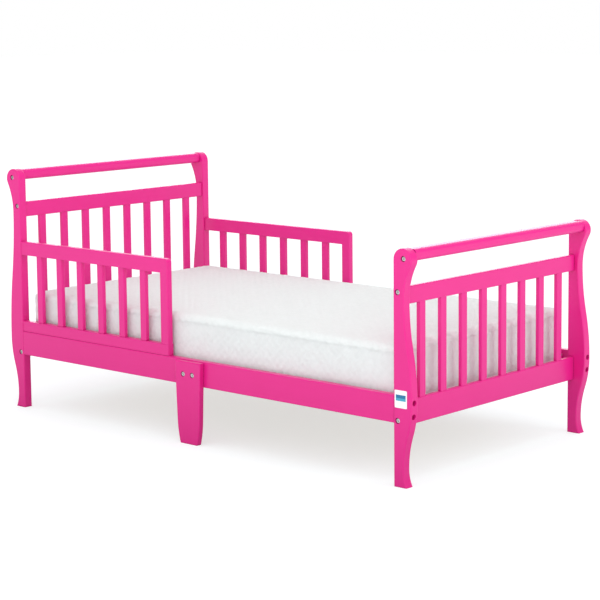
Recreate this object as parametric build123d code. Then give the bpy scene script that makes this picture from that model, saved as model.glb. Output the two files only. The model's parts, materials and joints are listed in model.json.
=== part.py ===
from build123d import *

import os

# Toddler bed in the sleigh style: two bolted end frames with slats, two side rails on the end posts,
# a centre leg on each side rail, a guard rail on each side at the head end, a slatted base and a mattress.
# Frame: origin on the floor at the centre of the footprint, +X from head to foot, +Z up.
# The near side is at -Y. Every piece is drawn once, at the foot end or on the near side,
# and mirrored to where else it is used. u is the distance outwards from a post's inner edge.

# ---- Overall sizes (mm)
inner_length = 1340.0        # between the inner edges of the head and foot posts
frame_width = 744.0          # over the outer side faces of the posts
head_height = 673.0
foot_height = 563.0

# ---- Sleigh posts
post_thickness = 25.0
post_edge_round = 3.0
roll_radius = 27.0           # the rolled top, tangent to the straight inner edge
neck_depth = 30.0            # depth u of the post at its slim neck
neck_drop = 120.0            # neck below the top of the post
belly_depth = 53.5
belly_height = 200.0
ankle_depth = 28.0
ankle_height = 42.0
foot_depth = 38.0            # depth u where the foot flares onto the floor

# ---- Rails of the end frames
crest_depth = 36.0
crest_height = 28.5
crest_start = 12.0           # u of the crest rail's inner face
crest_drop = 2.5             # crest rail's top below the top of the post
crest_round = 10.0
crest_bolt_drop = 24.0
crest_dowel_drop = 11.5
rail_thickness = 14.0
rail_start = 5.0             # u of the flat rails' inner faces
rail_round = 2.5
upper_rail_height = 42.0
upper_rail_drop = 92.0       # upper rail's top below the top of the post
upper_bolt_edge = 11.0       # bolt and dowel from the rail's two edges
lower_rail_height = 60.0
lower_rail_bottom = 142.0
lower_bolt_rise = 15.5       # bolt above the lower rail's bottom

# ---- Slats of the end frames
end_slat_count = 8
end_slat_width = 23.0
end_slat_thickness = 10.5
end_slat_gap = 52.0          # between a post and the first slat
slat_round = 2.0
tenon_length = 12.0
tenon_clearance = 0.15

# ---- Side rails and centre legs
side_rail_inset = 1.0        # outer face inside the posts' outer side face
side_rail_thickness = 20.0
side_rail_bottom = 151.0
side_rail_height = 66.5
side_bolt_rise = 19.0        # lower end bolt above the rail's bottom
side_bolt_drop = 14.5        # upper end bolt below the rail's top
leg_thickness = 15.0
leg_top_width = 92.0
leg_shin_width = 80.0
leg_foot_width = 61.0
leg_shin_height = 62.0
leg_top_drop = 2.5           # leg's top below the side rail's top
leg_round = 3.0
leg_bolt_rise = 30.5         # leg's bolts above the side rail's bottom
leg_bolt_spacing = 33.0

# ---- Guard rails
guard_length = 585.5
guard_thickness = 18.0
guard_inset = 2.0            # outer face inside the posts' outer side face
guard_top = 471.5
guard_top_rail_height = 37.5
guard_bottom_rail_height = 29.5
guard_round = 3.0
guard_corner_round = 10.0
guard_post_width = 28.5
guard_slat_count = 6
guard_slat_width = 22.0
guard_slat_thickness = 12.0
guard_first_gap = 59.5       # head post to first slat
guard_last_gap = 58.0        # last slat to end post
guard_bolt_count = 3
guard_bolt_margin = 125.0    # outer bolts from the ends of the bottom rail
guard_counterbore = 40.0     # depth of the bolt wells in the side rail's underside

# ---- Slatted base and mattress
cleat_end_gap = 50.0         # from the posts' inner edges
cleat_width = 20.0
cleat_height = 22.0
cleat_rise = 2.0             # cleat's bottom above the side rail's bottom
base_slat_count = 12
base_slat_width = 65.0
base_slat_thickness = 12.0
base_slat_clearance = 3.0
mattress_end_gap = 14.5      # from the posts' inner edges
mattress_side_gap = 1.0      # from the posts' inner side faces
mattress_thickness = 144.0
mattress_corner = 14.0
mattress_edge = 12.0
mattress_clearance = 0.3

# ---- Fasteners
bolt_radius = 3.0
bolt_clearance = 0.3         # around a bolt's shank in its hole
bolt_head_radius = 6.0
bolt_head_height = 6.0
bolt_head_round = 0.8
socket_across = 5.0
socket_depth = 3.2
head_clearance = 1.0         # around a bolt's head in its well
post_counterbore = 8.0
leg_counterbore = 7.0
side_bolt_seat = 28.0        # u of the shoulder under the side rail bolts' heads
side_bolt_reach = 32.0       # shank length inside the side rail
side_bolt_spare = 1.0        # depth of the rail's hole past the bolt's tip
insert_radius = 5.0
insert_length = 15.0
insert_setback = 0.5
insert_hole_spare = 2.5      # depth of the hole past the insert
barrel_radius = 5.0
barrel_length = 14.0
barrel_from_end = 24.0
barrel_slot_width = 1.4
barrel_slot_depth = 1.5
dowel_radius = 4.0
dowel_length = 31.0
dowel_in_post = 11.5
dowel_chamfer = 1.0
screw_radius = 1.8
screw_head_radius = 4.0
screw_length = 26.0
fit_clearance = 0.1

# ---- Derived places
half_length = inner_length / 2
half_width = frame_width / 2
half_clear = half_width - post_thickness
bolt_hole_radius = bolt_radius + bolt_clearance
counterbore_radius = bolt_head_radius + head_clearance
insert_hole_depth = insert_setback + insert_length + insert_hole_spare
rail_centre = rail_start + rail_thickness / 2
crest_centre = crest_start + crest_depth / 2
lower_rail_top = lower_rail_bottom + lower_rail_height
side_rail_top = side_rail_bottom + side_rail_height
side_rail_outer = -half_width + side_rail_inset
side_rail_inner = side_rail_outer + side_rail_thickness
side_rail_middle = (side_rail_outer + side_rail_inner) / 2
leg_height = side_rail_top - leg_top_drop
leg_bolt_height = side_rail_bottom + leg_bolt_rise
guard_outer = -half_width + guard_inset
guard_middle = guard_outer + guard_thickness / 2
guard_slat_bottom = side_rail_top + guard_bottom_rail_height
guard_slat_top = guard_top - guard_top_rail_height
cleat_length = inner_length - 2 * cleat_end_gap
cleat_bottom = side_rail_bottom + cleat_rise
cleat_top = cleat_bottom + cleat_height
mattress_length = inner_length - 2 * mattress_end_gap
mattress_width = 2 * (half_clear - mattress_side_gap)
mattress_bottom = cleat_top + base_slat_thickness + mattress_clearance

outwards = Vector(0, -1, 0)
inwards = Vector(0, 1, 0)
up = Vector(0, 0, 1)
down = Vector(0, 0, -1)
headwards = Vector(-1, 0, 0)
footwards = Vector(1, 0, 0)


# ---- Helpers shared by the wooden pieces and the fasteners
def rod(start, direction, radius, length):
    """Round rod from a point along a direction."""
    bar = Cylinder(radius, length, align=(Align.CENTER, Align.CENTER, Align.MIN))
    return Plane(origin=start, z_dir=direction).location * bar


def block(low, high):
    """Box between two corners."""
    size = [high[i] - low[i] for i in range(3)]
    return Location(low) * Box(*size, align=(Align.MIN, Align.MIN, Align.MIN))


def rounded_board(low, high, axis, radius):
    """Board with the four edges along one axis rounded over."""
    board = block(low, high)
    return fillet(board.edges().filter_by(axis), radius)


def bolt_hole(seat, direction, ahead, behind):
    """Shank hole ahead of a bolt's seat, with the well for its head behind the seat."""
    well = rod(seat, direction * -1, counterbore_radius, behind)
    return rod(seat, direction, bolt_hole_radius, ahead) + well


def insert_hole(mouth, direction):
    """Hole for a threaded insert, from a face into the wood."""
    return rod(mouth, direction, insert_radius + fit_clearance, insert_hole_depth)


def dowel_hole(face, direction, depth):
    """Hole for a wood dowel, from a face into the wood."""
    return rod(face, direction, dowel_radius + fit_clearance, depth + fit_clearance)


def near_and_far(shape):
    """A near-side shape and its copy on the far side."""
    return [shape, mirror(shape, about=Plane.XZ)]


def at_head(shape):
    """The head-end copy of a foot-end shape."""
    return mirror(shape, about=Plane.YZ)


# ---- Places of the joints, written once for the wood and for the hardware
def side_bolt_heights():
    """Heights of the two bolts at each end of a side rail."""
    return [side_rail_bottom + side_bolt_rise, side_rail_top - side_bolt_drop]


def end_rail_joints(height):
    """Depth u, bolt height and dowel height of the crest, upper and lower rails of an end frame.

    The lower rail's dowel passes midway between the side rail's two bolts.
    """
    side_bolt_middle = sum(side_bolt_heights()) / 2
    upper_top = height - upper_rail_drop
    upper_bottom = upper_top - upper_rail_height
    return [
        (crest_centre, height - crest_bolt_drop, height - crest_dowel_drop),
        (rail_centre, upper_top - upper_bolt_edge, upper_bottom + upper_bolt_edge),
        (rail_centre, lower_rail_bottom + lower_bolt_rise, side_bolt_middle),
    ]


def leg_bolt_places():
    return [-leg_bolt_spacing / 2, leg_bolt_spacing / 2]


def guard_bolt_places():
    """X of the bolts that rise through the side rail into a guard's bottom rail."""
    pitch = (guard_length - 2 * guard_bolt_margin) / (guard_bolt_count - 1)
    return [-half_length + guard_bolt_margin + i * pitch for i in range(guard_bolt_count)]


def guard_dowel_heights():
    """Dowels between the head post and the guard's top and bottom rails."""
    return [side_rail_top + guard_bottom_rail_height / 2, guard_top - guard_top_rail_height / 2]


def guard_post_dowel_places():
    """X of the two dowels at each end of a guard's end post."""
    middle = -half_length + guard_length - guard_post_width / 2
    return [middle - guard_post_width / 4, middle + guard_post_width / 4]


def end_slat_places():
    """Y of the middles of an end frame's slats."""
    first = -half_clear + end_slat_gap + end_slat_width / 2
    pitch = -2 * first / (end_slat_count - 1)
    return [first + i * pitch for i in range(end_slat_count)]


def guard_slat_places():
    """X of the middles of a guard's slats."""
    first = -half_length + guard_first_gap + guard_slat_width / 2
    last = -half_length + guard_length - guard_post_width - guard_last_gap - guard_slat_width / 2
    pitch = (last - first) / (guard_slat_count - 1)
    return [first + i * pitch for i in range(guard_slat_count)]


def base_slat_places():
    """X of the middles of the slats under the mattress."""
    first = -cleat_length / 2 + base_slat_width / 2
    pitch = -2 * first / (base_slat_count - 1)
    return [first + i * pitch for i in range(base_slat_count)]


# ---- Sleigh posts
def ogee(start, end):
    """Two equal arcs that leave start upright and reach end upright."""
    middle = (start + end) / 2
    lower = TangentArc(start, middle, tangent=(0, end.Y - start.Y))
    return [lower, TangentArc(middle, end, tangent=lower % 1)]


def post_outline(height):
    """Sleigh profile of a post as a face: u to the right, height upwards."""
    toe = Vector(foot_depth, 0)
    ankle = Vector(ankle_depth, ankle_height)
    belly = Vector(belly_depth, belly_height)
    neck = Vector(neck_depth, height - neck_drop)
    roll_centre = Vector(roll_radius, height - roll_radius)
    rise = neck_drop - roll_radius
    reach = neck_depth - roll_radius
    cove_radius = (rise**2 + reach**2 - roll_radius**2) / (2 * (roll_radius - reach))
    cove_centre = Vector(neck_depth + cove_radius, neck.Y)
    roll_end = roll_centre + (cove_centre - roll_centre).normalized() * roll_radius
    roll_top = roll_centre + Vector(0, roll_radius)
    roll_start = Vector(0, roll_centre.Y)
    edges = [
        TangentArc(ankle, toe, tangent=(0, -1)),
        *ogee(ankle, belly),
        *ogee(belly, neck),
        TangentArc(neck, roll_end, tangent=(0, 1)),
        ThreePointArc(roll_end, roll_top, roll_start),
        Line(roll_start, Vector(0, 0)),
        Line(Vector(0, 0), toe),
    ]
    return Face(Wire(edges))


def post_blank(height):
    """Post without its holes, edges rounded everywhere but at the floor."""
    plane = Plane(origin=(half_length, -half_clear, 0), x_dir=(1, 0, 0), z_dir=outwards)
    blank = extrude(plane.location * post_outline(height), post_thickness, dir=outwards)
    faces = blank.faces().filter_by(Axis.Y)
    rims = faces.edges().filter_by(lambda edge: edge.bounding_box().max.Z > fit_clearance)
    return fillet(rims, post_edge_round)


def foot_end_post(height):
    """Near post of the foot end, with the holes for its rails and for the side rail."""
    post = post_blank(height)
    for u, bolt_z, dowel_z in end_rail_joints(height):
        x = half_length + u
        seat = Vector(x, -half_width + post_counterbore, bolt_z)
        post -= bolt_hole(seat, inwards, post_thickness, post_counterbore)
        face = Vector(x, -half_clear, dowel_z)
        post -= dowel_hole(face, outwards, dowel_in_post)
    for z in side_bolt_heights():
        seat = Vector(half_length + side_bolt_seat, side_rail_middle, z)
        post -= bolt_hole(seat, headwards, side_bolt_seat + fit_clearance, belly_depth)
    return post


def head_end_post():
    """Near post of the head end: the foot-end shape turned round, with dowel holes for the guard."""
    post = at_head(foot_end_post(head_height))
    for z in guard_dowel_heights():
        post -= dowel_hole(Vector(-half_length, guard_middle, z), headwards, dowel_in_post)
    return post


# ---- Rails of the end frames
def drill_end_rail(rail, u, bolt_z, dowel_z):
    """Holes in both ends of an end rail for its inserts and dowels."""
    x = half_length + u
    for end, direction in ((-half_clear, inwards), (half_clear, outwards)):
        rail -= insert_hole(Vector(x, end, bolt_z), direction)
        rail -= dowel_hole(Vector(x, end, dowel_z), direction, dowel_length - dowel_in_post)
    return rail


def end_slat_mortise(y, low, high):
    """Pocket that takes one end of a slat."""
    reach = end_slat_thickness / 2 + tenon_clearance
    side = end_slat_width / 2 + tenon_clearance
    x = half_length + rail_centre
    return block((x - reach, y - side, low), (x + reach, y + side, high))


def crest_rail(height):
    """Handrail between the rolled tops of two posts."""
    top = height - crest_drop
    low = (half_length + crest_start, -half_clear, top - crest_height)
    high = (half_length + crest_start + crest_depth, half_clear, top)
    rail = rounded_board(low, high, Axis.Y, crest_round)
    return drill_end_rail(rail, *end_rail_joints(height)[0])


def flat_end_rail(bottom, top, mortise_low, mortise_high, joint):
    """Flat rail with a row of mortises for the slats."""
    low = (half_length + rail_start, -half_clear, bottom)
    high = (half_length + rail_start + rail_thickness, half_clear, top)
    rail = rounded_board(low, high, Axis.Y, rail_round)
    for y in end_slat_places():
        rail -= end_slat_mortise(y, mortise_low, mortise_high)
    return drill_end_rail(rail, *joint)


def upper_rail(height):
    """Flat rail over the slats."""
    top = height - upper_rail_drop
    bottom = top - upper_rail_height
    mortise_end = bottom + tenon_length + tenon_clearance
    joint = end_rail_joints(height)[1]
    return flat_end_rail(bottom, top, bottom - tenon_length, mortise_end, joint)


def lower_rail(height):
    """Flat rail under the slats."""
    mortise_end = lower_rail_top - tenon_length - tenon_clearance
    joint = end_rail_joints(height)[2]
    return flat_end_rail(lower_rail_bottom, lower_rail_top, mortise_end, lower_rail_top + tenon_length, joint)


def end_slat(height, y):
    """Upright slat with its ends in the mortises of the upper and lower rails."""
    x = half_length + rail_centre
    top = height - upper_rail_drop - upper_rail_height + tenon_length
    low = (x - end_slat_thickness / 2, y - end_slat_width / 2, lower_rail_top - tenon_length)
    high = (x + end_slat_thickness / 2, y + end_slat_width / 2, top)
    return rounded_board(low, high, Axis.Z, slat_round)


# ---- Side rail, centre leg and ledger cleat of the near side
def side_rail():
    """Board between the posts, drilled for its end bolts, the centre leg and the guard."""
    low = (-half_length, side_rail_outer, side_rail_bottom)
    high = (half_length, side_rail_inner, side_rail_top)
    rail = rounded_board(low, high, Axis.X, rail_round)
    for z in side_bolt_heights():
        for end, direction in ((half_length, headwards), (-half_length, footwards)):
            mouth = Vector(end, side_rail_middle, z)
            rail -= rod(mouth, direction, bolt_hole_radius, side_bolt_reach + side_bolt_spare)
            cross_mouth = Vector(end, side_rail_inner, z) + direction * barrel_from_end
            rail -= rod(cross_mouth, outwards, barrel_radius + fit_clearance, barrel_length + insert_setback)
    for x in leg_bolt_places():
        rail -= insert_hole(Vector(x, side_rail_outer, leg_bolt_height), inwards)
    for x in guard_bolt_places():
        seat = Vector(x, side_rail_middle, side_rail_bottom + guard_counterbore)
        rail -= bolt_hole(seat, up, side_rail_height, guard_counterbore)
    return rail


def leg_outline():
    """Front of a centre leg as a face: straight taper, then curved in to the floor."""
    top_right = Vector(leg_top_width / 2, leg_height)
    shin_right = Vector(leg_shin_width / 2, leg_shin_height)
    foot_right = Vector(leg_foot_width / 2, 0)
    taper = Line(top_right, shin_right)
    curve = TangentArc(shin_right, foot_right, tangent=taper % 1)
    top = Line(Vector(-leg_top_width / 2, leg_height), top_right)
    foot = Line(foot_right, Vector(-leg_foot_width / 2, 0))
    left = [curve.mirror(Plane.YZ), taper.mirror(Plane.YZ)]
    return Face(Wire([top, taper, curve, foot, *left]))


def centre_leg():
    """Leg board on the outer face of the side rail, held by two bolts side by side."""
    plane = Plane(origin=(0, side_rail_outer, 0), x_dir=(1, 0, 0), z_dir=outwards)
    leg = extrude(plane.location * leg_outline(), leg_thickness, dir=outwards)
    front = leg.faces().sort_by(Axis.Y)[0]
    rims = front.edges().filter_by(lambda edge: edge.bounding_box().max.Z > fit_clearance)
    leg = fillet(rims, leg_round)
    for x in leg_bolt_places():
        seat = Vector(x, side_rail_outer - leg_thickness + leg_counterbore, leg_bolt_height)
        leg -= bolt_hole(seat, inwards, leg_thickness, leg_counterbore)
    return leg


def ledger_cleat():
    """Cleat glued to the inner face of the side rail, with a pilot hole under each slat screw."""
    low = (-cleat_length / 2, side_rail_inner, cleat_bottom)
    high = (cleat_length / 2, side_rail_inner + cleat_width, cleat_top)
    cleat = block(low, high)
    depth = screw_length - base_slat_thickness + fit_clearance
    for x in base_slat_places():
        start = Vector(x, side_rail_inner + cleat_width / 2, cleat_top)
        cleat -= rod(start, down, screw_radius + fit_clearance, depth)
    return cleat


# ---- Guard rail of the near side
def guard_mortise(x, low, high):
    """Pocket that takes one end of a guard slat."""
    side = guard_slat_width / 2 + tenon_clearance
    reach = guard_slat_thickness / 2 + tenon_clearance
    return block((x - side, guard_middle - reach, low), (x + side, guard_middle + reach, high))


def guard_top_rail():
    """Rail over the slats and the end post, doweled into the head post."""
    low = (-half_length, guard_outer, guard_slat_top)
    high = (-half_length + guard_length, guard_outer + guard_thickness, guard_top)
    rail = block(low, high)
    corner = rail.edges().filter_by(Axis.Y).sort_by(Axis.X)[-2:].sort_by(Axis.Z)[-1]
    rail = fillet(corner, guard_corner_round)
    rims = rail.faces().sort_by(Axis.Z)[-1].edges().filter_by(Axis.X)
    rail = fillet(rims, guard_round)
    for x in guard_slat_places():
        mortise_end = guard_slat_top + tenon_length + tenon_clearance
        rail -= guard_mortise(x, guard_slat_top - tenon_length, mortise_end)
    for x in guard_post_dowel_places():
        rail -= dowel_hole(Vector(x, guard_middle, guard_slat_top), up, dowel_length / 2)
    end = Vector(-half_length, guard_middle, guard_dowel_heights()[1])
    return rail - dowel_hole(end, footwards, dowel_length - dowel_in_post)


def guard_bottom_rail():
    """Rail on the side rail's top edge, with inserts for the bolts from below."""
    low = (-half_length, guard_outer, side_rail_top)
    high = (-half_length + guard_length, guard_outer + guard_thickness, guard_slat_bottom)
    rail = block(low, high)
    rims = rail.edges().filter_by(Axis.X).group_by(Axis.Y)[0]
    rail = fillet(rims, guard_round / 2)
    for x in guard_slat_places():
        mortise_end = guard_slat_bottom - tenon_length - tenon_clearance
        rail -= guard_mortise(x, mortise_end, guard_slat_bottom + tenon_length)
    for x in guard_post_dowel_places():
        rail -= dowel_hole(Vector(x, guard_middle, guard_slat_bottom), down, dowel_length / 2)
    for x in guard_bolt_places():
        rail -= insert_hole(Vector(x, side_rail_middle, side_rail_top), up)
    end = Vector(-half_length, guard_middle, guard_dowel_heights()[0])
    return rail - dowel_hole(end, footwards, dowel_length - dowel_in_post)


def guard_end_post():
    """Upright that closes the guard at its foot end."""
    x = -half_length + guard_length
    low = (x - guard_post_width, guard_outer, guard_slat_bottom)
    high = (x, guard_outer + guard_thickness, guard_slat_top)
    post = rounded_board(low, high, Axis.Z, guard_round)
    for place in guard_post_dowel_places():
        post -= dowel_hole(Vector(place, guard_middle, guard_slat_top), down, dowel_length / 2)
        post -= dowel_hole(Vector(place, guard_middle, guard_slat_bottom), up, dowel_length / 2)
    return post


def guard_slat(x):
    """Upright slat with its ends in the mortises of the guard's two rails."""
    side = guard_slat_width / 2
    reach = guard_slat_thickness / 2
    low = (x - side, guard_middle - reach, guard_slat_bottom - tenon_length)
    high = (x + side, guard_middle + reach, guard_slat_top + tenon_length)
    return rounded_board(low, high, Axis.Z, slat_round)


# ---- Slatted base and mattress
def base_slat(x):
    """Board across the two cleats, countersunk for a screw at each end."""
    half_span = -side_rail_inner - base_slat_clearance
    low = (x - base_slat_width / 2, -half_span, cleat_top)
    high = (x + base_slat_width / 2, half_span, cleat_top + base_slat_thickness)
    board = rounded_board(low, high, Axis.Y, slat_round)
    sink_depth = screw_head_radius - screw_radius + fit_clearance
    for y in (side_rail_inner + cleat_width / 2, -side_rail_inner - cleat_width / 2):
        board -= rod(Vector(x, y, cleat_top), up, screw_radius + fit_clearance, base_slat_thickness)
        sink = Cone(screw_radius, screw_head_radius + fit_clearance, sink_depth)
        board -= Location((x, y, cleat_top + base_slat_thickness - sink_depth / 2)) * sink
    return board


def mattress():
    """Plain block of the mattress's size, resting on the base slats."""
    low = (-mattress_length / 2, -mattress_width / 2, mattress_bottom)
    high = (mattress_length / 2, mattress_width / 2, mattress_bottom + mattress_thickness)
    pad = fillet(block(low, high).edges().filter_by(Axis.Z), mattress_corner)
    rims = pad.faces().filter_by(Axis.Z).edges()
    return fillet(rims, mattress_edge)


# ---- Fasteners
def socket_bolt(seat, direction, length):
    """Hex-socket bolt with its head behind the seat and its shank along the direction."""
    head = Cylinder(bolt_head_radius, bolt_head_height, align=(Align.CENTER, Align.CENTER, Align.MAX))
    rim = head.edges().filter_by(GeomType.CIRCLE).sort_by(Axis.Z)[0]
    head = fillet(rim, bolt_head_round)
    hexagon = RegularPolygon(socket_across / 2, 6, major_radius=False)
    socket = extrude(Location((0, 0, -bolt_head_height)) * hexagon, socket_depth)
    shank = Cylinder(bolt_radius, length, align=(Align.CENTER, Align.CENTER, Align.MIN))
    return Plane(origin=seat, z_dir=direction).location * (head + shank - socket)


def threaded_insert(mouth, direction):
    """Threaded sleeve set just inside a hole's mouth."""
    start = mouth + direction * insert_setback
    bore = rod(start, direction, bolt_radius + fit_clearance, insert_length)
    return rod(start, direction, insert_radius, insert_length) - bore


def barrel_nut(centre, outer_direction, bolt_direction):
    """Cross-dowel nut: its round body lies across the bolt, with a slot to turn it by."""
    start = centre + outer_direction * (side_rail_thickness / 2 - insert_setback)
    nut = rod(start, outer_direction * -1, barrel_radius, barrel_length)
    bore_start = centre - bolt_direction * barrel_radius * 2
    nut -= rod(bore_start, bolt_direction, bolt_radius + fit_clearance, barrel_radius * 4)
    slot = Box(barrel_radius * 2, barrel_slot_width, barrel_slot_depth * 2)
    return nut - Plane(origin=start, z_dir=outer_direction).location * slot


def wood_dowel(face, direction, reach):
    """Chamfered dowel that passes a joint's face: reach is its length ahead of the face."""
    pin = Cylinder(dowel_radius, dowel_length)
    pin = chamfer(pin.edges().filter_by(GeomType.CIRCLE), dowel_chamfer)
    middle = face + direction * (reach - dowel_length / 2)
    return Plane(origin=middle, z_dir=direction).location * pin


def slat_screw(x, y):
    """Countersunk wood screw, flush in the top of a base slat."""
    head_height = screw_head_radius - screw_radius
    top = cleat_top + base_slat_thickness
    head = Location((x, y, top - head_height / 2)) * Cone(screw_radius, screw_head_radius, head_height)
    shank = rod(Vector(x, y, top), down, screw_radius, screw_length)
    return head + shank


def end_frame_hardware(height):
    """Bolts, inserts and dowels at the near post of the foot end."""
    bolts, inserts, dowels = [], [], []
    length = post_thickness - post_counterbore + insert_length
    for u, bolt_z, dowel_z in end_rail_joints(height):
        x = half_length + u
        seat = Vector(x, -half_width + post_counterbore, bolt_z)
        bolts.append(socket_bolt(seat, inwards, length))
        inserts.append(threaded_insert(Vector(x, -half_clear, bolt_z), inwards))
        reach = dowel_length - dowel_in_post
        dowels.append(wood_dowel(Vector(x, -half_clear, dowel_z), inwards, reach))
    return bolts, inserts, dowels


def side_rail_hardware():
    """Long bolts and barrel nuts at the foot end of the near side rail."""
    bolts, nuts = [], []
    for z in side_bolt_heights():
        seat = Vector(half_length + side_bolt_seat, side_rail_middle, z)
        bolts.append(socket_bolt(seat, headwards, side_bolt_seat + side_bolt_reach))
        centre = Vector(half_length - barrel_from_end, side_rail_middle, z)
        nuts.append(barrel_nut(centre, inwards, headwards))
    return bolts, nuts


def leg_hardware():
    """Bolts and inserts of the near centre leg."""
    length = leg_thickness - leg_counterbore + insert_length
    seat_y = side_rail_outer - leg_thickness + leg_counterbore
    bolts, inserts = [], []
    for x in leg_bolt_places():
        bolts.append(socket_bolt(Vector(x, seat_y, leg_bolt_height), inwards, length))
        inserts.append(threaded_insert(Vector(x, side_rail_outer, leg_bolt_height), inwards))
    return bolts, inserts


def guard_hardware():
    """Bolts, inserts and dowels of the near guard."""
    length = side_rail_height - guard_counterbore + insert_length
    seat_z = side_rail_bottom + guard_counterbore
    bolts, inserts, dowels = [], [], []
    for x in guard_bolt_places():
        bolts.append(socket_bolt(Vector(x, side_rail_middle, seat_z), up, length))
        inserts.append(threaded_insert(Vector(x, side_rail_middle, side_rail_top), up))
    for z in guard_dowel_heights():
        reach = dowel_length - dowel_in_post
        dowels.append(wood_dowel(Vector(-half_length, guard_middle, z), footwards, reach))
    for x in guard_post_dowel_places():
        for z in (guard_slat_bottom, guard_slat_top):
            dowels.append(wood_dowel(Vector(x, guard_middle, z), up, dowel_length / 2))
    return bolts, inserts, dowels


def hardware_nodes():
    """Every fastener of the bed, grouped by kind."""
    kinds = ("post_bolts", "side_rail_bolts", "centre_leg_bolts", "guard_bolts",
             "threaded_inserts", "barrel_nuts", "wood_dowels")
    near = {kind: [] for kind in kinds}
    for height, mirrored in ((foot_height, False), (head_height, True)):
        side_bolts, nuts = side_rail_hardware()
        groups = dict(zip(("post_bolts", "threaded_inserts", "wood_dowels"), end_frame_hardware(height)))
        groups["side_rail_bolts"] = side_bolts
        groups["barrel_nuts"] = nuts
        for kind, pieces in groups.items():
            near[kind] += [at_head(piece) if mirrored else piece for piece in pieces]
    leg_bolts, leg_inserts = leg_hardware()
    guard_bolts, guard_inserts, guard_dowels = guard_hardware()
    near["centre_leg_bolts"] += leg_bolts
    near["guard_bolts"] += guard_bolts
    near["threaded_inserts"] += leg_inserts + guard_inserts
    near["wood_dowels"] += guard_dowels
    nodes = {}
    for kind, pieces in near.items():
        nodes[kind] = [copy for piece in pieces for copy in near_and_far(piece)]
    screw_y = side_rail_inner + cleat_width / 2
    nodes["slat_screws"] = [slat_screw(x, y) for x in base_slat_places() for y in (screw_y, -screw_y)]
    return nodes


# ---- Assembly
def end_frame_nodes(end, height):
    """Rails and slats of one end frame."""
    nodes = {
        f"{end}_crest_rail": crest_rail(height),
        f"{end}_upper_rail": upper_rail(height),
        f"{end}_lower_rail": lower_rail(height),
    }
    for number, y in enumerate(end_slat_places(), start=1):
        nodes[f"{end}_slat_{number}"] = end_slat(height, y)
    if end == "head":
        nodes = {name: at_head(shape) for name, shape in nodes.items()}
    return nodes


def near_side_nodes():
    """Pieces that are alike on both sides, as drawn for the near side."""
    nodes = {
        "head_post": head_end_post(),
        "foot_post": foot_end_post(foot_height),
        "side_rail": side_rail(),
        "centre_leg": centre_leg(),
        "ledger_cleat": ledger_cleat(),
        "guard_top_rail": guard_top_rail(),
        "guard_bottom_rail": guard_bottom_rail(),
        "guard_end_post": guard_end_post(),
    }
    for number, x in enumerate(guard_slat_places(), start=1):
        nodes[f"guard_slat_{number}"] = guard_slat(x)
    return nodes


def bed_nodes():
    nodes = {}
    nodes.update(end_frame_nodes("head", head_height))
    nodes.update(end_frame_nodes("foot", foot_height))
    for name, shape in near_side_nodes().items():
        nodes[f"{name}_near"], nodes[f"{name}_far"] = near_and_far(shape)
    nodes["support_slats"] = [base_slat(x) for x in base_slat_places()]
    nodes.update(hardware_nodes())
    nodes["mattress"] = mattress()
    return nodes


os.makedirs("parts", exist_ok=True)
for node_name, content in bed_nodes().items():
    pieces = content if isinstance(content, list) else [content]
    solids = [solid for piece in pieces for solid in piece.solids()]
    export_step(solids[0] if len(solids) == 1 else Compound(children=solids), f"parts/{node_name}.step")
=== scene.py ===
import json
import math

import bmesh
import bpy
import numpy as np
from mathutils import Matrix, Vector
from mathutils.bvhtree import BVHTree


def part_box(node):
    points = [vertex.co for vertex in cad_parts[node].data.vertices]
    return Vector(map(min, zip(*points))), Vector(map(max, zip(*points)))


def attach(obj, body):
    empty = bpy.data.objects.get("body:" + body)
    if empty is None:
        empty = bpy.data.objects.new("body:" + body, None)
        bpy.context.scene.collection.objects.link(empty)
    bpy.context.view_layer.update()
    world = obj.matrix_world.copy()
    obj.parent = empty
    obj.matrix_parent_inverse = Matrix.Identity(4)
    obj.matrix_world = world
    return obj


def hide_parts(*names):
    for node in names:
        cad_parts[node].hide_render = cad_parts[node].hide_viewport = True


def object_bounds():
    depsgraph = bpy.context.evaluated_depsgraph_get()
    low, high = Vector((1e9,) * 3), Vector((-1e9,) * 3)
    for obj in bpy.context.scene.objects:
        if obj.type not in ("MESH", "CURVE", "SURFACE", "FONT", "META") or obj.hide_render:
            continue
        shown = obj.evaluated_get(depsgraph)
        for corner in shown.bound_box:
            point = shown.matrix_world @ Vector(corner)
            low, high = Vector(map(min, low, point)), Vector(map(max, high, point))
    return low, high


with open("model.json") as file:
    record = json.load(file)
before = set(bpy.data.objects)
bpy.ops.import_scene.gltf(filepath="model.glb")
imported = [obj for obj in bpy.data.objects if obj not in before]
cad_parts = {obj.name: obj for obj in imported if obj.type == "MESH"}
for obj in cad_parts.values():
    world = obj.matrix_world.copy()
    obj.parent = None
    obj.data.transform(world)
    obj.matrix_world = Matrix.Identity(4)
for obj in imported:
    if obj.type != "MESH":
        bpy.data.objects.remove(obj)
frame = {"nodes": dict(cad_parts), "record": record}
cad_low, cad_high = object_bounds()
nodes = frame["nodes"]
slot_of_node = {part["node"]: part["material_slot"] for part in frame["record"]["subparts"]}


# ---- Painted boards
# Posts, rails, slats, legs and cleats are planed softwood boards with eased edges, sprayed with a
# hot pink satin lacquer that follows the grain faintly and dries to a fine orange peel.
paint_pink = (0.745, 0.012, 0.240, 1.0)
paint_deep = (0.685, 0.008, 0.205, 1.0)
# Painted shade: the lacquer is mixed towards this dark colour in crevices, where ambient occlusion finds
# little open air.
crevice_painted_shadow = (0.30, 0.004, 0.085, 1.0)
crevice_reach = 0.007
crevice_samples = 6
crevice_shade = (0.30, 0.75)
paint_roughness = (0.30, 0.42)
paint_specular = 0.36
paint_coat = 0.14
paint_coat_roughness = 0.18
peel_per_metre = 620.0
peel_height = 0.000035
grain_across_per_metre = 230.0
grain_along_per_metre = 7.0
grain_height = 0.00006
grain_wander = 0.6
band_scale = 0.35
fibre_scale = 1.7
band_share = 0.7
mottle_share = 0.02


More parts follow.
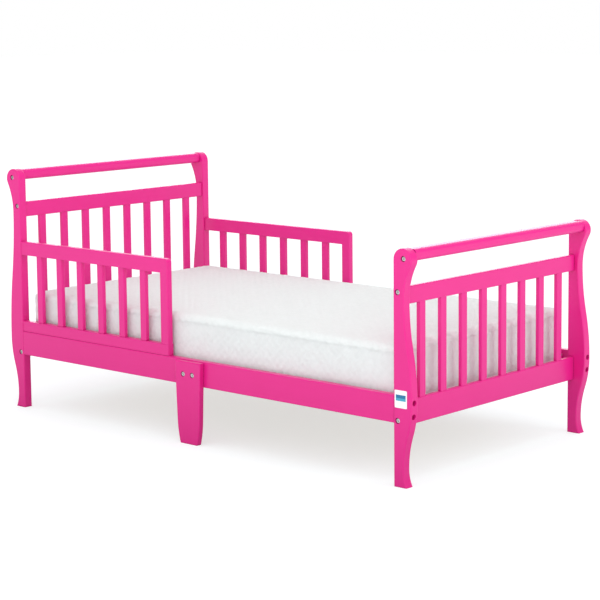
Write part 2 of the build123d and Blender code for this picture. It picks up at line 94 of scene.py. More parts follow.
def add(tree, kind, inputs=None, **settings):
    """Node with its settings; an input given as a socket is linked, any other is set."""
    made = tree.nodes.new(kind)
    for name, value in settings.items():
        setattr(made, name, value)
    for key, value in (inputs or {}).items():
        if isinstance(value, bpy.types.NodeSocket):
            tree.links.new(value, made.inputs[key])
        else:
            made.inputs[key].default_value = value
    return made


def math_node(tree, operation, first, second=0.0):
    return add(tree, "ShaderNodeMath", {0: first, 1: second}, operation=operation).outputs[0]


def scaled(tree, value, low, high):
    """Value from 0 to 1 carried to the range from low to high."""
    carried = add(tree, "ShaderNodeMapRange", {"Value": value, "To Min": low, "To Max": high})
    return carried.outputs["Result"]


def stretched(tree, value, low, high):
    """Value from low to high carried to the range from 0 to 1."""
    carried = add(tree, "ShaderNodeMapRange", {"Value": value, "From Min": low, "From Max": high})
    return carried.outputs["Result"]


def mixed(tree, factor, first, second):
    """Colour between two colours."""
    made = add(tree, "ShaderNodeMix", {0: factor, 6: first, 7: second}, data_type="RGBA")
    return made.outputs[2]


def effect_group(name, inputs, outputs):
    """Empty shader group with named sockets, and its two end nodes."""
    group = bpy.data.node_groups.new(name, "ShaderNodeTree")
    for title, kind in inputs:
        group.interface.new_socket(title, in_out="INPUT", socket_type=kind)
    for title in outputs:
        group.interface.new_socket(title, in_out="OUTPUT", socket_type="NodeSocketFloat")
    return group, group.nodes.new("NodeGroupInput"), group.nodes.new("NodeGroupOutput")


def long_grain_effect():
    """Wood grain: slow bands and fine fibres, drawn out along the axis where the scale is lowest."""
    group, start, end = effect_group(
        "Long grain", [("Vector", "NodeSocketVector"), ("Wander", "NodeSocketFloat")], ("Tone", "Height"))
    vector = start.outputs["Vector"]
    bands = add(group, "ShaderNodeTexNoise",
                {"Vector": vector, "Scale": band_scale, "Detail": 3.0, "Distortion": start.outputs["Wander"]})
    fibres = add(group, "ShaderNodeTexNoise", {"Vector": vector, "Scale": fibre_scale, "Detail": 4.0})
    tone = math_node(group, "MULTIPLY_ADD", bands.outputs["Fac"], band_share)
    fibre_tone = math_node(group, "MULTIPLY", fibres.outputs["Fac"], 1 - band_share)
    group.links.new(fibre_tone, tone.node.inputs[2])
    group.links.new(tone, end.inputs["Tone"])
    group.links.new(math_node(group, "ADD", tone, fibres.outputs["Fac"]), end.inputs["Height"])
    return group


def fine_tooth_effect():
    """Fine even texture, such as the orange peel of a sprayed coat or the tooth of cast metal."""
    group, start, end = effect_group(
        "Fine tooth", [("Vector", "NodeSocketVector"), ("Per metre", "NodeSocketFloat")],
        ("Mottle", "Height"))
    vector, scale = start.outputs["Vector"], start.outputs["Per metre"]
    peel = add(group, "ShaderNodeTexNoise", {"Vector": vector, "Scale": scale, "Detail": 1.5})
    slow = math_node(group, "MULTIPLY", scale, mottle_share)
    mottle = add(group, "ShaderNodeTexNoise", {"Vector": vector, "Scale": slow, "Detail": 3.0})
    group.links.new(mottle.outputs["Fac"], end.inputs["Mottle"])
    group.links.new(peel.outputs["Fac"], end.inputs["Height"])
    return group


long_grain = long_grain_effect()
fine_tooth = fine_tooth_effect()


def new_material(name):
    """Material with its Principled shader and the piece's own coordinates."""
    made = bpy.data.materials.new(name)
    made.use_nodes = True
    tree = made.node_tree
    coords = add(tree, "ShaderNodeTexCoord").outputs["Object"]
    return made, tree, tree.nodes["Principled BSDF"], coords


def bumped(tree, shader, layers):
    """Stacks (height socket, metres) layers into the shader's normal."""
    normal = None
    for height, distance in layers:
        inputs = {"Height": height, "Distance": distance, "Strength": 1.0}
        if normal is not None:
            inputs["Normal"] = normal
        normal = add(tree, "ShaderNodeBump", inputs).outputs["Normal"]
    tree.links.new(normal, shader.inputs["Normal"])


def painted_wood(axis):
    """Pink lacquer over wood whose grain runs along one axis of the bed, darkened with painted shade in
    crevices and joints.
    """
    made, tree, shader, coords = new_material(f"pink_lacquer_grain_{'xyz'[axis]}")
    squeeze = [grain_across_per_metre] * 3
    squeeze[axis] = grain_along_per_metre
    along = add(tree, "ShaderNodeMapping", {"Vector": coords, "Scale": squeeze}).outputs["Vector"]
    grain = add(tree, "ShaderNodeGroup", node_tree=long_grain)
    tree.links.new(along, grain.inputs["Vector"])
    grain.inputs["Wander"].default_value = grain_wander
    tooth = add(tree, "ShaderNodeGroup", node_tree=fine_tooth)
    tree.links.new(coords, tooth.inputs["Vector"])
    tooth.inputs["Per metre"].default_value = peel_per_metre
    shade = math_node(tree, "MULTIPLY", grain.outputs["Tone"], tooth.outputs["Mottle"])
    # Painted shade: an ambient occlusion reading darkens the lacquer in crevices and along the joints between
    # boards.
    open_air = add(tree, "ShaderNodeAmbientOcclusion", {"Distance": crevice_reach},
                   samples=crevice_samples).outputs["AO"]
    crevice = math_node(tree, "SUBTRACT", 1.0, open_air)
    crevice = stretched(tree, crevice, *crevice_shade)
    lacquer = mixed(tree, shade, paint_pink, paint_deep)
    tree.links.new(mixed(tree, crevice, lacquer, crevice_painted_shadow), shader.inputs["Base Color"])
    tree.links.new(scaled(tree, tooth.outputs["Mottle"], *paint_roughness), shader.inputs["Roughness"])
    shader.inputs["Specular IOR Level"].default_value = paint_specular
    shader.inputs["Coat Weight"].default_value = paint_coat
    shader.inputs["Coat Roughness"].default_value = paint_coat_roughness
    bumped(tree, shader, [(grain.outputs["Height"], grain_height), (tooth.outputs["Height"], peel_height)])
    return made


painted = [painted_wood(axis) for axis in range(3)]


def dress(node, material):
    """Gives a CAD node one material."""
    mesh = nodes[node].data
    mesh.materials.clear()
    mesh.materials.append(material)


for name, slot in slot_of_node.items():
    if slot == "painted_wood":
        low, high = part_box(name)
        size = high - low
        dress(name, painted[max(range(3), key=lambda i: size[i])])


# ---- Support slats and dowels
# Twelve planed pine boards lie across the ledger cleats under the mattress, and beech dowels pin the
# joints. Both are left bare, with rings, fibres and a sanded surface.
pine_light = (0.80, 0.60, 0.37, 1.0)
pine_dark = (0.58, 0.34, 0.155, 1.0)
pine_roughness = (0.50, 0.68)
pine_ring_width = 0.006
pine_across_per_metre = 160.0
pine_along_per_metre = 6.0
pine_grain_height = 0.00012
pine_wander = 1.1
pine_ring_bend = 5.0
pine_ring_detail = 0.6


def bare_wood(name, axis):
    """Unpainted wood: rings bent by the slow bands of the grain, with fibres over them."""
    made, tree, shader, coords = new_material(name)
    squeeze = [pine_across_per_metre] * 3
    squeeze[axis] = pine_along_per_metre
    along = add(tree, "ShaderNodeMapping", {"Vector": coords, "Scale": squeeze}).outputs["Vector"]
    grain = add(tree, "ShaderNodeGroup", node_tree=long_grain)
    tree.links.new(along, grain.inputs["Vector"])
    grain.inputs["Wander"].default_value = pine_wander
    ring_scale = 1.0 / (pine_ring_width * pine_across_per_metre)
    rings = add(tree, "ShaderNodeTexWave",
                {"Vector": along, "Scale": ring_scale / 4, "Distortion": pine_ring_bend,
                 "Detail": 2.0, "Detail Scale": pine_ring_detail},
                wave_type="RINGS", rings_direction="XYZ"[axis], wave_profile="SAW")
    figure = math_node(tree, "MULTIPLY", rings.outputs["Fac"], grain.outputs["Tone"])
    tree.links.new(mixed(tree, figure, pine_light, pine_dark), shader.inputs["Base Color"])
    tree.links.new(scaled(tree, grain.outputs["Tone"], *pine_roughness), shader.inputs["Roughness"])
    bumped(tree, shader, [(grain.outputs["Height"], pine_grain_height)])
    return made


dress("support_slats", bare_wood("bare_pine", 1))
dress("wood_dowels", bare_wood("bare_beech", 2))


# ---- Threaded inserts and barrel nuts
# Zinc-plated steel sleeves and cross-dowels, sunk in the wood where the bolts screw in. The plating
# is a dull blue-grey with a faint spangle.
zinc_light = (0.66, 0.68, 0.70, 1.0)
zinc_dark = (0.52, 0.54, 0.57, 1.0)
zinc_roughness = (0.32, 0.50)
zinc_spangles_per_metre = 4000.0
zinc_tooth = 0.000012


def plated_steel(name, light, dark, roughness, per_metre, tooth_height):
    """Bright metal with a slightly uneven plating."""
    made, tree, shader, coords = new_material(name)
    tooth = add(tree, "ShaderNodeGroup", node_tree=fine_tooth)
    tree.links.new(coords, tooth.inputs["Vector"])
    tooth.inputs["Per metre"].default_value = per_metre
    tree.links.new(mixed(tree, tooth.outputs["Mottle"], light, dark), shader.inputs["Base Color"])
    tree.links.new(scaled(tree, tooth.outputs["Mottle"], *roughness), shader.inputs["Roughness"])
    shader.inputs["Metallic"].default_value = 1.0
    bumped(tree, shader, [(tooth.outputs["Height"], tooth_height)])
    return made


zinc_plate = plated_steel("zinc_plate", zinc_light, zinc_dark, zinc_roughness,
                          zinc_spangles_per_metre, zinc_tooth)
for name in ("threaded_inserts", "barrel_nuts"):
    dress(name, zinc_plate)


# ---- Socket bolts
# Nickel-plated furniture bolts, turned with a crowned head and a hexagon socket. They sit in wells in
# the posts, the centre legs and under the side rails, each stopped at its own angle.
nickel_light = (0.84, 0.83, 0.82, 1.0)
nickel_dark = (0.66, 0.655, 0.65, 1.0)
nickel_roughness = (0.16, 0.30)
nickel_grain_per_metre = 2600.0
nickel_tooth = 0.000006
bolt_head = 0.006
bolt_crown = 0.0005
socket_half = 0.0025
socket_deep = 0.0032
socket_cone = 0.0008
shank_radius = 0.003
thread_pitch = 0.001
thread_depth = 0.0003
thread_length = 0.016
ring_points = 24
hard_edge = 35.0


def round_ring(radius, _):
    return radius


def hexagon_ring(half_width, angle):
    """Distance from the middle to the side of a hexagon, in the direction of an angle."""
    turned = (angle + math.pi / 6) % (math.pi / 3) - math.pi / 6
    return half_width / math.cos(turned)


def turned_mesh(name, rings, tip):
    """Closed mesh through rings of (outline, size, height), from its first ring's centre to a tip."""
    form = bmesh.new()
    loops = []
    for outline, size, height in rings:
        loop = []
        for i in range(ring_points):
            angle = 2 * math.pi * i / ring_points
            radius = outline(size, angle)
            loop.append(form.verts.new((radius * math.cos(angle), radius * math.sin(angle), height)))
        loops.append(loop)
    for upper, lower in zip(loops, loops[1:]):
        for i in range(ring_points):
            j = (i + 1) % ring_points
            form.faces.new((upper[i], upper[j], lower[j], lower[i]))
    for loop, centre in ((loops[0], rings[0][2] - tip), (loops[-1], rings[-1][2] - tip)):
        middle = form.verts.new((0, 0, centre))
        for i in range(ring_points):
            form.faces.new((loop[i], loop[(i + 1) % ring_points], middle))
    bmesh.ops.recalc_face_normals(form, faces=form.faces)
    mesh = bpy.data.meshes.new(name)
    form.to_mesh(mesh)
    form.free()
    return mesh


def thread_rings(start, end, radius, pitch, depth):
    """Crests and roots of a thread between two heights, running downwards."""
    count = int((start - end) / pitch)
    rings = []
    for i in range(count):
        rings.append((round_ring, radius, start - i * pitch))
        rings.append((round_ring, radius - depth, start - (i + 0.5) * pitch))
    return rings


def bolt_form(name, head_radius, length):
    """Bolt with the top of its head at the origin and its shank downwards."""
    rings = [
        (hexagon_ring, socket_half, -socket_deep),
        (hexagon_ring, socket_half, -bolt_crown),
        (round_ring, socket_half * 1.25, 0.0),
        (round_ring, head_radius * 0.80, 0.0),
        (round_ring, head_radius * 0.93, -bolt_crown * 0.4),
        (round_ring, head_radius * 0.985, -bolt_crown * 1.1),
        (round_ring, head_radius, -bolt_crown * 2.0),
        (round_ring, head_radius, -bolt_head + bolt_crown),
        (round_ring, head_radius - bolt_crown, -bolt_head),
        (round_ring, shank_radius, -bolt_head),
    ]
    rings += thread_rings(-length + thread_length, -length + thread_pitch,
                          shank_radius, thread_pitch, thread_depth)
    rings.append((round_ring, shank_radius * 0.75, -length + socket_cone))
    return turned_mesh(name, rings, socket_cone)


def fastener_places(node):
    """(top of the head, direction out of the wood, head radius, length) of each solid in a group."""
    form = bmesh.new()
    form.from_mesh(nodes[node].data)
    bmesh.ops.remove_doubles(form, verts=form.verts, dist=1e-6)
    places, seen = [], set()
    for seed in form.verts:
        if seed in seen:
            continue
        seen.add(seed)
        stack, solid = [seed], []
        while stack:
            vertex = stack.pop()
            solid.append(vertex.co.copy())
            for edge in vertex.link_edges:
                other = edge.other_vert(vertex)
                if other not in seen:
                    seen.add(other)
                    stack.append(other)
        points = np.array(solid)
        low, high = points.min(0), points.max(0)
        axis = int(np.argmax(high - low))
        middle = (low + high) / 2
        across = np.linalg.norm(np.delete(points - middle, axis, 1), axis=1)
        sign = 1.0 if points[across.argmax(), axis] > middle[axis] else -1.0
        top = Vector(middle)
        top[axis] = high[axis] if sign > 0 else low[axis]
        outwards = Vector((0, 0, 0))
        outwards[axis] = sign
        places.append((top, outwards, float(across.max()), float((high - low)[axis])))
    form.free()
    return places


def fastener_tree():
    """Geometry nodes: one fastener on each point, along its direction and turned at random about it."""
    tree = bpy.data.node_groups.new("Driven fasteners", "GeometryNodeTree")
    face = tree.interface
    face.new_socket("Places", in_out="INPUT", socket_type="NodeSocketGeometry")
    face.new_socket("Fastener", in_out="INPUT", socket_type="NodeSocketObject")
    face.new_socket("Plating", in_out="INPUT", socket_type="NodeSocketMaterial")
    face.new_socket("Seed", in_out="INPUT", socket_type="NodeSocketInt")
    face.new_socket("Fasteners", in_out="OUTPUT", socket_type="NodeSocketGeometry")
    start, end = tree.nodes.new("NodeGroupInput"), tree.nodes.new("NodeGroupOutput")
    direction = add(tree, "GeometryNodeInputNamedAttribute", {"Name": "outwards"},
                    data_type="FLOAT_VECTOR")
    facing = add(tree, "FunctionNodeAlignRotationToVector", {"Vector": direction.outputs["Attribute"]},
                 axis="Z")
    spin = add(tree, "FunctionNodeRandomValue", {"Seed": start.outputs["Seed"]}, data_type="FLOAT")
    spin.inputs[2].default_value = 0.0
    spin.inputs[3].default_value = math.tau
    turn = add(tree, "FunctionNodeAxisAngleToRotation", {"Axis": (0, 0, 1), "Angle": spin.outputs[1]})
    turned = add(tree, "FunctionNodeRotateRotation",
                 {"Rotation": facing.outputs["Rotation"], "Rotate By": turn.outputs["Rotation"]},
                 rotation_space="LOCAL")
    shape = add(tree, "GeometryNodeObjectInfo", {"Object": start.outputs["Fastener"]})
    placed = add(tree, "GeometryNodeInstanceOnPoints",
                 {"Points": start.outputs["Places"], "Instance": shape.outputs["Geometry"],
                  "Rotation": turned.outputs["Rotation"]})
    real = add(tree, "GeometryNodeRealizeInstances", {"Geometry": placed.outputs["Instances"]})
    plated = add(tree, "GeometryNodeSetMaterial",
                 {"Geometry": real.outputs["Geometry"], "Material": start.outputs["Plating"]})
    tree.links.new(plated.outputs["Geometry"], end.inputs["Fasteners"])
    return tree


def set_input(modifier, name, value):
    """Sets a geometry nodes input by its name on the tree."""
    for item in modifier.node_group.interface.items_tree:
        if item.in_out == "INPUT" and item.name == name:
            modifier[item.identifier] = value


def linked(name, mesh):
    made = bpy.data.objects.new(name, mesh)
    bpy.context.scene.collection.objects.link(made)
    return made


def frozen(piece, name):
    """The piece with its modifiers applied, as a plain mesh object in its place."""
    seen = piece.evaluated_get(bpy.context.evaluated_depsgraph_get())
    mesh = bpy.data.meshes.new_from_object(seen)
    bpy.data.objects.remove(piece)
    return linked(name, mesh)


def shade_by_angle(mesh, degrees):
    """Smooth shading, with hard edges where two faces meet at more than an angle."""
    form = bmesh.new()
    form.from_mesh(mesh)
    limit = math.radians(degrees)
    for face in form.faces:
        face.smooth = True
    for edge in form.edges:
        edge.smooth = len(edge.link_faces) == 2 and edge.calc_face_angle(0.0) < limit
    form.to_mesh(mesh)
    form.free()


fasteners = fastener_tree()


def driven(name, node, form, plating, seed):
    """Replaces a group of CAD fasteners with detailed ones at the same places."""
    places = fastener_places(node)
    top, _, head_radius, length = places[0]
    model = linked(name + "_model", form(name + "_model", head_radius, length))
    points = bpy.data.meshes.new(name + "_places")
    points.from_pydata([place[0] for place in places], [], [])
    directions = points.attributes.new("outwards", "FLOAT_VECTOR", "POINT")
    for i, place in enumerate(places):
        directions.data[i].vector = place[1]
    holder = linked(name + "_places", points)
    modifier = holder.modifiers.new("fasteners", "NODES")
    modifier.node_group = fasteners
    set_input(modifier, "Fastener", model)
    set_input(modifier, "Plating", plating)
    set_input(modifier, "Seed", seed)
    made = frozen(holder, name)
    bpy.data.objects.remove(model)
    shade_by_angle(made.data, hard_edge)
    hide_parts(node)
    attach(made, "frame")
    return made


nickel_plate = plated_steel("nickel_plate", nickel_light, nickel_dark, nickel_roughness,
                            nickel_grain_per_metre, nickel_tooth)
bolt_groups = ("post_bolts", "side_rail_bolts", "centre_leg_bolts", "guard_bolts")
for seed, group in enumerate(bolt_groups):
    driven(f"turned_{group}", group, bolt_form, nickel_plate, seed)


# ---- Slat screws
# Zinc-plated countersunk wood screws, two through each support slat into the cleats, with a cross
# recess in the head and a coarse thread.
recess_arm = 0.0021
recess_half = 0.0005
recess_deep = 0.0016
screw_head = 0.0024
screw_shank = 0.0018
screw_pitch = 0.0018
screw_thread = 0.0005
screw_point = 0.004


def cross_ring(arm, angle):
    """Distance from the middle to the side of a cross, in the direction of an angle."""
    turned = abs((angle + math.pi / 4) % (math.pi / 2) - math.pi / 4)
    side = recess_half / math.sin(turned) if turned > 1e-6 else arm
    return min(arm / math.cos(turned), side)


def screw_form(name, head_radius, length):
    """Screw with the top of its head at the origin and its point downwards."""
    rings = [
        (cross_ring, recess_arm * 0.6, -recess_deep),
        (cross_ring, recess_arm, 0.0),
        (round_ring, head_radius * 0.96, 0.0),
        (round_ring, head_radius, -0.0002),
        (round_ring, screw_shank, -screw_head),
    ]
    rings += thread_rings(-length * 0.4, -length + screw_point, screw_shank, screw_pitch, screw_thread)
    rings.append((round_ring, screw_shank * 0.7, -length + screw_point))
    rings.append((round_ring, screw_shank * 0.1, -length + 0.0003))
    return turned_mesh(name, rings, 0.0003)


driven("driven_slat_screws", "slat_screws", screw_form, zinc_plate, 11)


# ---- Maker's label
# A blank printed vinyl label on the near foot post: white film with a two-tone blue band, rounded
# corners and no lettering.
label_width = 0.0365
label_height = 0.042
label_inset = 0.0036
label_bottom = 0.189
label_film = 0.00018
label_corner = 0.0025
label_white = (0.86, 0.87, 0.88, 1.0)
label_blue = (0.012, 0.16, 0.34, 1.0)
label_sky = (0.055, 0.36, 0.52, 1.0)
label_roughness = (0.34, 0.46)
band_low = 0.40
band_middle = 0.55
band_high = 0.74
band_margin = 0.10
label_tooth_per_metre = 1500.0
label_tooth = 0.00001


def label_outline(width, height, corner, steps=5):
    """Points round a rounded rectangle, from its lower left corner."""
    points = []
    centres = ((corner, corner, math.pi), (width - corner, corner, 1.5 * math.pi),
               (width - corner, height - corner, 0.0), (corner, height - corner, 0.5 * math.pi))
    for x, y, start in centres:
        for i in range(steps + 1):
            angle = start + i * math.pi / 2 / steps
            points.append((x + corner * math.cos(angle), y + corner * math.sin(angle)))
    return points


def label_mesh(x, y, z):
    """Film of the label's outline, standing out from a face towards -Y."""
    form = bmesh.new()
    outline = label_outline(label_width, label_height, label_corner)
    back = [form.verts.new((x + u, y, z + v)) for u, v in outline]
    sheet = form.faces.new(back)
    grown = bmesh.ops.extrude_face_region(form, geom=[sheet])
    lifted = [item for item in grown["geom"] if isinstance(item, bmesh.types.BMVert)]
    bmesh.ops.translate(form, verts=lifted, vec=(0, -label_film, 0))
    bmesh.ops.recalc_face_normals(form, faces=form.faces)
    mesh = bpy.data.meshes.new("blank_label")
    form.to_mesh(mesh)
    form.free()
    return mesh


def label_print(x, z):
    """White film with a band across it, darker above and lighter below, inside a margin."""
    made, tree, shader, coords = new_material("printed_vinyl")
    place = add(tree, "ShaderNodeSeparateXYZ", {"Vector": coords})
    across = math_node(tree, "DIVIDE", math_node(tree, "SUBTRACT", place.outputs["X"], x), label_width)
    height = math_node(tree, "DIVIDE", math_node(tree, "SUBTRACT", place.outputs["Z"], z), label_height)
    inside = math_node(tree, "MULTIPLY", math_node(tree, "GREATER_THAN", across, band_margin),
                       math_node(tree, "LESS_THAN", across, 1 - band_margin))
    band = math_node(tree, "MULTIPLY", math_node(tree, "GREATER_THAN", height, band_low),
                     math_node(tree, "LESS_THAN", height, band_high))
    tone = mixed(tree, math_node(tree, "GREATER_THAN", height, band_middle), label_sky, label_blue)
    printed = math_node(tree, "MULTIPLY", inside, band)
    tree.links.new(mixed(tree, printed, label_white, tone), shader.inputs["Base Color"])
    tooth = add(tree, "ShaderNodeGroup", node_tree=fine_tooth)
    tree.links.new(coords, tooth.inputs["Vector"])
    tooth.inputs["Per metre"].default_value = label_tooth_per_metre
    tree.links.new(scaled(tree, tooth.outputs["Mottle"], *label_roughness), shader.inputs["Roughness"])
    bumped(tree, shader, [(tooth.outputs["Height"], label_tooth)])
    return made


post_low, post_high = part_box("foot_post_near")
label_x = post_low.x + label_inset
label = linked("blank_label", label_mesh(label_x, post_low.y, label_bottom))
label.data.materials.append(label_print(label_x, label_bottom))
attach(label, "frame")


# ---- Mattress
# A foam core in a white embossed knit cover. The top, bottom and side panels meet in two seams that
# run round the edges, so the panels swell a little between them.
swell_room = 0.0015
swell_cap = 0.005
sim_voxel = 0.008
sim_frames = 20
sim_pressure = 4.0
cloth_mass = 0.3
cloth_tension = 12.0
cloth_compression = 6.0
cloth_shear = 4.0
cloth_bending = 0.8
upper_seam_drop = 0.022
lower_seam_rise = 0.007
seam_band = 0.005
side_room = 0.0005
top_round = 0.018
emboss_pitch = 0.024
emboss_depth = 0.0020
ripple_size = 0.075
ripple_depth = 0.0016
top_facing = 0.7
rest_facing = -0.3
lattice_sway = 0.14
lattice_sharp = 0.45
fold_sharp = 3.0
fold_place = (-0.140, -0.235, 0.0)
fold_turn = math.radians(23.6)
fold_gap = 0.085
fold_depth = 0.0050
fold_reach = 0.20
blotch_size = 0.013
blotch_height = 0.0014
blotch_painted_shade_range = (0.62, 0.38)
blotch_twist = 0.6
cover_white = (0.90, 0.93, 0.925, 1.0)
# Colour of the sunken patches of the emboss: painted shade in its hollows.
cover_painted_shade = (0.875, 0.905, 0.90, 1.0)
cover_roughness = (0.82, 0.94)
cover_sheen = 0.25
sheen_roughness = 0.4
lint_per_metre = 1200.0
lint_height = 0.0001
knit_pitch = 0.0016
knit_height = 0.00025

mattress_low, mattress_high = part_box("mattress")
mattress_centre = (mattress_low + mattress_high) / 2
mattress_size = mattress_high - mattress_low
seam_heights = (mattress_low.z + lower_seam_rise, mattress_high.z - upper_seam_drop)


def coords_of(mesh):
    points = np.empty(len(mesh.vertices) * 3, np.float32)
    mesh.vertices.foreach_get("co", points)
    return points.reshape(-1, 3).astype(float)


def put_coords(mesh, points):
    mesh.vertices.foreach_set("co", points.astype(np.float32).ravel())
    mesh.update()


def core_mesh():
    """Block of the mattress's size, drawn in by the room that the cover needs to swell."""
    form = bmesh.new()
    bmesh.ops.create_cube(form, size=1.0)
    mesh = bpy.data.meshes.new("mattress_core")
    form.to_mesh(mesh)
    form.free()
    size = np.array(mattress_size) - swell_room * np.array((2, 2, 1))
    base = np.array((mattress_centre.x, mattress_centre.y, mattress_low.z))
    put_coords(mesh, base + (coords_of(mesh) + np.array((0, 0, 0.5))) * size)
    return mesh


def remeshed_core():
    """The core in small even faces, with its top edges rolled over."""
    core = linked("mattress_core", core_mesh())
    remesh = core.modifiers.new("remesh", "REMESH")
    remesh.mode = "VOXEL"
    remesh.voxel_size = sim_voxel
    core = frozen(core, "mattress_cover")
    points = coords_of(core.data)
    half = np.array(mattress_size[:2]) / 2 - swell_room
    inset = np.minimum(half - np.abs(points[:, :2] - np.array(mattress_centre[:2])), top_round)
    fall = top_round - np.sqrt(np.maximum(top_round**2 - (top_round - np.maximum(inset, 0)) ** 2, 0))
    ceiling = mattress_high.z - swell_room - fall.max(1)
    points[:, 2] = np.minimum(points[:, 2], np.maximum(ceiling, mattress_high.z - swell_room - top_round))
    put_coords(core.data, points)
    return core


def swollen(piece):
    """Cloth simulation of the cover under the core's pressure, held at its two seams."""
    seams = piece.vertex_groups.new(name="seams")
    rest = coords_of(piece.data)
    for height in seam_heights:
        near = np.abs(rest[:, 2] - height) < seam_band
        seams.add([int(i) for i in np.nonzero(near)[0]], 1.0, "REPLACE")
    cloth = piece.modifiers.new("swell", "CLOTH")
    cloth.settings.quality = 4
    cloth.settings.mass = cloth_mass
    cloth.settings.tension_stiffness = cloth_tension
    cloth.settings.compression_stiffness = cloth_compression
    cloth.settings.shear_stiffness = cloth_shear
    cloth.settings.bending_stiffness = cloth_bending
    cloth.settings.use_pressure = True
    cloth.settings.uniform_pressure_force = sim_pressure
    cloth.settings.vertex_group_mass = "seams"
    cloth.settings.effector_weights.gravity = 0.0
    cloth.collision_settings.use_self_collision = False
    cloth.collision_settings.use_collision = False
    scene = bpy.context.scene
    for number in range(1, sim_frames + 1):
        scene.frame_set(number)
    made = frozen(piece, "mattress_cover")
    scene.frame_set(1)
    return made, rest


def capped(piece, rest):
    """Limits how far the cover swelled, and keeps it off the slats and the boards round it."""
    moved = coords_of(piece.data) - rest
    far = np.linalg.norm(moved, axis=1, keepdims=True)
    points = rest + moved * (swell_cap * np.tanh(far / swell_cap) / np.maximum(far, 1e-9))
    low, high = np.array(mattress_low), np.array(mattress_high)
    low[:2] += side_room
    high[:2] -= side_room
    high[2] += swell_cap
    put_coords(piece.data, np.clip(points, low, high))


def math_chain(tree, *steps):
    """Feeds a value through (operation, number) steps."""
    value = steps[0]
    for operation, number in steps[1:]:
        value = math_node(tree, operation, value, number)
    return value


